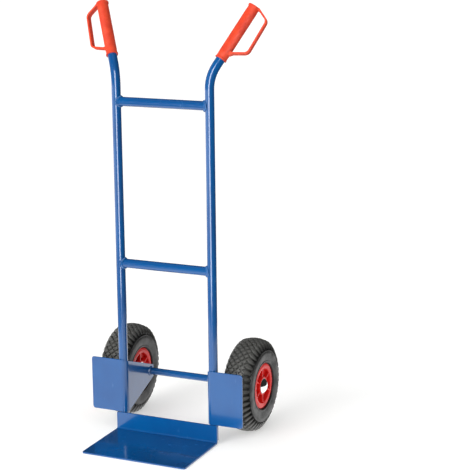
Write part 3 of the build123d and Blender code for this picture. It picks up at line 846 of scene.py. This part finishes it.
def treaded_tyre(side, centre):
    mesh = grown_mesh(
        tread_repeat(),
        RING,
        {"Copies": TREAD_REPEATS, "Centre": tuple(centre), "Finish": FINISHES["tyre_foam"]},
    )
    bm = bmesh.new()
    revolve(bm, carcass_outline(), TYRE_STEPS, centre)
    outward_faces(bm)
    bm.from_mesh(mesh)
    bpy.data.meshes.remove(mesh)
    tyre = new_piece(f"{side}_treaded_tyre", bm, f"{side}_wheel", "tyre_foam", 32)
    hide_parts(f"{side}_tyre")


# ---------------------------------------------------------------- rim
def rim_outline():
    """Half the rim's closed section with rounded corners, then its mirror image."""
    half = [point * MM for point in rounded(RIM_CORNERS, closed=False)]
    return half + [Vector((-point.x, point.y)) for point in reversed(half)]


def rim_rib():
    """One radial rib with softened edges, standing straight up from the hub."""
    bm = bmesh.new()
    half = RIB_THICKNESS / 2
    rows = []
    for radius, reach in RIB_ROWS:
        outline = rounded(
            [
                (-half, -reach * MM, RIB_EDGE),
                (-half, reach * MM, RIB_EDGE),
                (half, reach * MM, RIB_EDGE),
                (half, -reach * MM, RIB_EDGE),
            ],
            steps=3,
        )
        rows.append([bm.verts.new((point.y, point.x, radius * MM)) for point in outline])
    join_rings(bm, rows, ring_closed=False, row_closed=True)
    bm.faces.new(rows[0])
    bm.faces.new(rows[-1])
    outward_faces(bm)
    return bm


def ribbed_rim(side, centre):
    mesh = grown_mesh(
        rim_rib(),
        RING,
        {"Copies": RIB_COUNT, "Centre": tuple(centre), "Finish": FINISHES["rim_plastic"]},
    )
    bm = bmesh.new()
    revolve(bm, rim_outline(), RIM_STEPS, centre)
    outward_faces(bm)
    bm.from_mesh(mesh)
    bpy.data.meshes.remove(mesh)
    rim = new_piece(f"{side}_ribbed_rim", bm, f"{side}_wheel", "rim_plastic", 35)
    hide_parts(f"{side}_rim")


# ---------------------------------------------------------------- grips
def grip_matrix():
    """The right-hand grip's own frame: +Z up the handle, +X towards the guard."""
    across = math.sin(HANDLE_LEAN)
    handle = Vector(
        (across * math.cos(HANDLE_TURN), across * math.sin(HANDLE_TURN), math.cos(HANDLE_LEAN))
    )
    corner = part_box("right_upright")[1]
    disc = Vector([TUBE_RADIUS * math.sqrt(1 - part * part) for part in handle])
    foot = corner - disc - handle * (GRIP_LENGTH - GRIP_END_WALL)
    outward = (Vector((1, 0, 0)) - handle * handle.x).normalized()
    outward = Matrix.Rotation(GUARD_TURN, 3, handle) @ outward
    axes = Matrix((outward, handle.cross(outward), handle)).transposed()
    return Matrix.Translation(foot) @ axes.to_4x4()


def sleeve_profile():
    """(height, radius, ridge share) rows of the grip from its open end to its closed end."""
    outside = TUBE_RADIUS + GRIP_WALL
    bore = TUBE_RADIUS + 0.05 * MM
    top = GRIP_LENGTH
    rows = [
        (6 * MM, bore, 0),
        (0.5 * MM, bore, 0),
        (0, bore + 0.5 * MM, 0),
        (0, outside - 0.2 * MM, 0),
        (0.4 * MM, outside + 1.3 * MM, 0),
        (3.0 * MM, outside + 1.5 * MM, 0),
        (4.2 * MM, outside + 0.3 * MM, 0),
        (5.0 * MM, outside, 0),
    ]
    ridged_from, ridged_to = 8 * MM, top - 9 * MM
    count = round((ridged_to - ridged_from) / GRIP_ROW)
    for number in range(count + 1):
        share = number / count
        fade = min(1.0, 12 * share, 12 * (1 - share))
        rows.append((ridged_from + (ridged_to - ridged_from) * share, outside, fade))
    rows += [
        (top - 6.4 * MM, outside, 0),
        (top - 5.4 * MM, outside + 0.4 * MM, 0),
        (top - 4.8 * MM, outside + GRIP_LIP, 0),
        (top - 1.0 * MM, outside + GRIP_LIP, 0),
        (top - 0.2 * MM, outside + 1.2 * MM, 0),
        (top, outside + 0.3 * MM, 0),
        (top, outside - 2.4 * MM, 0),
        (top - 1.3 * MM, outside - 3.2 * MM, 0),
        (top - 1.5 * MM, 3 * MM, 0),
    ]
    return rows


def grip_sleeve(bm):
    """The moulded sleeve, with fine ridges that wind round it."""
    rings = []
    for height, radius, fade in sleeve_profile():
        ring = []
        for step in range(GRIP_STEPS):
            angle = math.tau * step / GRIP_STEPS
            wave = math.cos(RIDGE_COUNT * (angle + height / TUBE_RADIUS))
            reach = radius + fade * RIDGE_HEIGHT * wave
            ring.append(bm.verts.new((reach * math.cos(angle), reach * math.sin(angle), height)))
        rings.append(ring)
    join_rings(bm, rings, ring_closed=False, row_closed=True)
    bm.faces.new(rings[0])
    bm.faces.new(rings[-1])


def strap_path():
    """The knuckle guard's middle line as (out from the handle, up along it)."""
    half = STRAP_HALF_THICKNESS
    corners = [
        (8 * MM, GRIP_LENGTH - half, 0),
        (16 * MM, GRIP_LENGTH - half, 9 * MM),
        (51 * MM, GRIP_LENGTH - 18.5 * MM, 15 * MM),
        (55 * MM, 48 * MM, 15 * MM),
        (10 * MM, 23 * MM, 0),
    ]
    bends = rounded(corners, steps=8, closed=False)
    points = [bends[0]]
    for following in bends[1:]:
        gap = following - points[-1]
        steps = max(1, round(gap.length / STRAP_STEP))
        points += [following - gap * (1 - step / steps) for step in range(1, steps)]
        points.append(following)
    return points


def strap_section(flare):
    """(across, out) outline of the strap: a flat band between two low edge beads."""
    wide, thick = STRAP_HALF_WIDTH, STRAP_HALF_THICKNESS * flare
    side = [
        (wide, 0),
        (wide, thick - 0.5 * MM),
        (wide - 0.5 * MM, thick),
        (wide - 1.5 * MM, thick),
        (wide - 2.1 * MM, thick - 0.55 * MM),
        (wide - 3.0 * MM, thick - 0.45 * MM),
        (0, thick - 0.25 * MM),
    ]
    upper = side + [(-across, out) for across, out in reversed(side[:-1])]
    return upper + [(across, -out) for across, out in reversed(upper[1:-1])]


def grip_strap(bm):
    """The knuckle guard, thickened where it runs into the sleeve."""
    path = strap_path()
    rings = []
    for number, point in enumerate(path):
        before = path[max(number - 1, 0)]
        after = path[min(number + 1, len(path) - 1)]
        along = (after - before).normalized()
        outward = Vector((-along.y, along.x))
        root = max(0.0, 1 - (point.x - TUBE_RADIUS - GRIP_WALL) / STRAP_FLARE_LENGTH)
        low_end = point.y < GRIP_LENGTH / 2
        flare = 1 + (FOOT_FLARE if low_end else TOP_FLARE) * min(root, 1.0) ** 2
        ring = []
        for across, out in strap_section(flare):
            place = point + outward * out
            ring.append(bm.verts.new((place.x, across, min(place.y, GRIP_LENGTH))))
        rings.append(ring)
    join_rings(bm, rings, ring_closed=False, row_closed=True)
    bm.faces.new(rings[0])
    bm.faces.new(rings[-1])


def moulded_grip(side):
    bm = bmesh.new()
    grip_sleeve(bm)
    grip_strap(bm)
    bm.transform(grip_matrix())
    if SIDES[side] < 0:
        bm.transform(Matrix.Scale(-1, 4, Vector((1, 0, 0))))
    outward_faces(bm)
    grip = new_piece(f"{side}_moulded_grip", bm, "frame", "grip_plastic", 42)
    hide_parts(f"{side}_grip")


# ---------------------------------------------------------------- welds
def weld_line(bm, points, closed=False):
    """A line of edges that the weld's lumps are set along."""
    verts = [bm.verts.new(point) for point in points]
    for here, following in zip(verts, verts[1:]):
        bm.edges.new((here, following))
    if closed:
        bm.edges.new((verts[-1], verts[0]))


def crossbar_weld_lines(bm, side):
    """The saddle line round each crossbar's end where it meets the upright."""
    reach = TUBE_RADIUS + SADDLE_STAND
    for height in CROSSBAR_HEIGHTS:
        points = []
        for step in range(SADDLE_STEPS):
            angle = math.tau * step / SADDLE_STEPS
            y, z = reach * math.cos(angle), reach * math.sin(angle)
            saddle = math.sqrt(max((TUBE_RADIUS + SADDLE_DEPTH) ** 2 - y * y, 0))
            inward = max(saddle, SADDLE_SIDE)
            points.append((side * (UPRIGHT_X - inward), FRAME_Y + y, height + z))
        weld_line(bm, points, closed=True)


def stitch_lines(bm, side):
    """The upright stitches beside each tube, on the toe plate and on the bracket."""
    reach = (TUBE_RADIUS + WELD_STAND) / math.sqrt(2)
    low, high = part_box("toe_plate_welds")
    toe_span = (low.z + WELD_BEAD, high.z - WELD_BEAD)
    low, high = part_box("bracket_welds")
    stitch = STITCH_LENGTH - WELD_BEAD
    low_span = (low.z + WELD_BEAD, low.z + stitch)
    high_span = (high.z - stitch, high.z - WELD_BEAD)
    places = [(1, -1, toe_span), (-1, -1, toe_span)]
    places += [(1, -1, low_span), (1, -1, high_span), (-1, 1, low_span), (-1, 1, high_span)]
    for across, behind, (bottom, top) in places:
        x, y = side * (UPRIGHT_X + across * reach), FRAME_Y + behind * reach
        weld_line(bm, [(x, y, bottom), (x, y, top)])


def axle_weld_lines(bm, side):
    """The ring round the axle on the inner face of the bracket."""
    low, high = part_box("axle_welds")
    ring = (high.z - low.z) / 2 - AXLE_RING_INSET
    x = side * (high.x - AXLE_RING_DEPTH)
    points = []
    for step in range(AXLE_RING_STEPS):
        angle = math.tau * step / AXLE_RING_STEPS
        points.append((x, AXLE_Y + ring * math.cos(angle), AXLE_Z + ring * math.sin(angle)))
    weld_line(bm, points, closed=True)


def weld_ripples():
    """One piece with the ripples of every weld bead."""
    bm = bmesh.new()
    for side in SIDES.values():
        crossbar_weld_lines(bm, side)
        stitch_lines(bm, side)
        axle_weld_lines(bm, side)
    mesh = grown_mesh(
        bm,
        WELD,
        {
            "Spacing": WELD_SPACING,
            "Bead radius": WELD_BEAD,
            "Seed": WELD_SEED,
            "Finish": WELD_PAINT,
        },
    )
    finished_piece("weld_ripples", mesh, "frame", WELD_PAINT, 80)


# ---------------------------------------------------------------- studio
def stage_plane(name, corners, finish):
    """A flat stage piece from its corners in order."""
    mesh = bpy.data.meshes.new(name)
    mesh.from_pydata(corners, [], [tuple(range(len(corners)))])
    mesh.materials.append(finish)
    plane = bpy.data.objects.new(name, mesh)
    bpy.context.scene.collection.objects.link(plane)
    return plane


def seen_only_in_gloss(plane):
    """A reflector: the paint mirrors it, and it lights or shades nothing else."""
    plane.visible_camera = False
    plane.visible_diffuse = False
    plane.visible_shadow = False
    plane.visible_transmission = False
    plane.visible_volume_scatter = False


def glowing(name, strength):
    """A plain white glow."""
    material = bpy.data.materials.new(name)
    material.use_nodes = True
    nodes = material.node_tree.nodes
    nodes.clear()
    glow = nodes.new("ShaderNodeEmission")
    glow.inputs["Color"].default_value = (1, 1, 1, 1)
    glow.inputs["Strength"].default_value = strength
    out = nodes.new("ShaderNodeOutputMaterial")
    material.node_tree.links.new(glow.outputs[0], out.inputs["Surface"])
    return material


def pale_floor():
    """White floor that glows a little, so that its shadows stay pale."""
    material = bpy.data.materials.new("pale_floor")
    material.use_nodes = True
    shader = material.node_tree.nodes["Principled BSDF"]
    shader.inputs["Base Color"].default_value = (0.72, 0.72, 0.715, 1)
    shader.inputs["Emission Color"].default_value = (1, 1, 0.99, 1)
    shader.inputs["Emission Strength"].default_value = 0.40
    shader.inputs["Roughness"].default_value = 0.9
    shader.inputs["Specular IOR Level"].default_value = 0.0
    size = FLOOR_HALF_SIZE
    corners = [(-size, -size, 0), (size, -size, 0), (size, size, 0), (-size, size, 0)]
    floor = stage_plane("floor", corners, material)
    floor.location.z = -FLOOR_DROP
    floor.visible_glossy = False


def reflectors():
    """A bright disc of floor round the truck and a tall window in front of it."""
    disc = []
    for step in range(BRIGHT_FLOOR_STEPS):
        angle = math.tau * step / BRIGHT_FLOOR_STEPS
        x, y = BRIGHT_FLOOR_RADIUS * math.cos(angle), BRIGHT_FLOOR_RADIUS * math.sin(angle)
        disc.append((x, y, -BRIGHT_FLOOR_DROP))
    floor_glow = glowing("floor_glow", BRIGHT_FLOOR_GLOW)
    seen_only_in_gloss(stage_plane("bright_floor", disc, floor_glow))
    left, right = (math.radians(azimuth) for azimuth in WINDOW_SPAN)
    top = WINDOW_HEIGHT
    corners = []
    for azimuth, height in ((left, 0.0), (right, 0.0), (right, top), (left, top)):
        x, y = WINDOW_DISTANCE * math.sin(azimuth), WINDOW_DISTANCE * math.cos(azimuth)
        corners.append((x, FRAME_Y - y, height))
    window_glow = glowing("window_glow", WINDOW_GLOW)
    seen_only_in_gloss(stage_plane("window", corners, window_glow))


def towards(azimuth, elevation):
    """The direction of a place seen from the truck, from angles in radians."""
    flat = math.cos(elevation)
    return Vector(
        (math.sin(azimuth) * flat, -math.cos(azimuth) * flat, math.sin(elevation))
    )


def sun(name, strength, azimuth, elevation, angle):
    """A soft far light, from angles in degrees."""
    light = bpy.data.lights.new(name, "SUN")
    light.energy = strength
    light.angle = math.radians(angle)
    lamp = bpy.data.objects.new(name, light)
    bpy.context.scene.collection.objects.link(lamp)
    back = towards(math.radians(azimuth), math.radians(elevation))
    lamp.rotation_euler = back.to_track_quat("Z", "Y").to_euler()
    lamp.visible_glossy = False


def studio_world():
    """White behind everything, soft light all round, and a darker room for reflections."""
    world = bpy.data.worlds.new("studio")
    bpy.context.scene.world = world
    world.use_nodes = True
    tree = world.node_tree
    nodes, link = tree.nodes, tree.links.new
    nodes.clear()
    rays = nodes.new("ShaderNodeLightPath")
    direction = nodes.new("ShaderNodeTexCoord")
    parts = nodes.new("ShaderNodeSeparateXYZ")
    link(direction.outputs["Generated"], parts.inputs[0])
    across, height = parts.outputs["X"], parts.outputs["Z"]
    left = ranged(tree, across, (-0.55, -1.0, 0.03, 0.45), smooth=True)
    above = ranged(tree, height, (0.75, 1.0, 0.0, 0.4), smooth=True)
    front_left = ranged(tree, across, (-0.1, -0.5, 0.0, 2.0), smooth=True)
    # A low bright band, which the crossbars mirror as a streak
    band = nodes.new("ShaderNodeValToRGB")
    stops = band.color_ramp.elements
    stops[0].position, stops[0].color = 0.37, (0, 0, 0, 1)
    stops[1].position, stops[1].color = 0.47, (0, 0, 0, 1)
    for position in (0.40, 0.44):
        stops.new(position).color = (1, 1, 1, 1)
    link(ranged(tree, height, (-1.0, 1.0)), band.inputs[0])
    streak = maths(tree, "MULTIPLY", band.outputs["Color"], front_left)
    room = maths(tree, "ADD", maths(tree, "ADD", left, above), streak)
    soft = nodes.new("ShaderNodeMix")
    soft.inputs["A"].default_value = ROOM_LIGHT
    link(rays.outputs["Is Glossy Ray"], soft.inputs["Factor"])
    link(room, soft.inputs["B"])
    seen = nodes.new("ShaderNodeMix")
    link(rays.outputs["Is Camera Ray"], seen.inputs["Factor"])
    link(soft.outputs["Result"], seen.inputs["A"])
    seen.inputs["B"].default_value = BACKGROUND_LIGHT
    background = nodes.new("ShaderNodeBackground")
    link(seen.outputs["Result"], background.inputs["Strength"])
    out = nodes.new("ShaderNodeOutputWorld")
    link(background.outputs[0], out.inputs["Surface"])


def camera():
    """A long lens from the front right, a little above."""
    view = bpy.data.cameras.new("camera")
    view.lens = LENS
    view.sensor_width = SENSOR
    viewer = bpy.data.objects.new("camera", view)
    bpy.context.scene.collection.objects.link(viewer)
    azimuth, elevation, roll = (math.radians(turn) for turn in CAMERA_TURNS)
    back = towards(azimuth, elevation)
    right = Vector((math.cos(azimuth), math.sin(azimuth), 0))
    up = back.cross(right)
    tilted_right = right * math.cos(roll) + up * math.sin(roll)
    tilted_up = back.cross(tilted_right)
    axes = Matrix((tilted_right, tilted_up, back)).transposed()
    place = Vector(CAMERA_TARGET) + back * CAMERA_DISTANCE
    viewer.matrix_world = Matrix.Translation(place) @ axes.to_4x4()
    bpy.context.scene.camera = viewer


# ---------------------------------------------------------------- the scene
def main():
    camera()
    studio_world()
    pale_floor()
    reflectors()
    sun("key", strength=3.7, azimuth=-18, elevation=14, angle=40)
    bpy.context.scene.view_settings.view_transform = "Standard"
    finish_cad_nodes()
    for side in SIDES:
        low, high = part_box(f"{side}_tyre")
        centre = (low + high) / 2
        treaded_tyre(side, centre)
        ribbed_rim(side, centre)
        moulded_grip(side)
    weld_ripples()


main()
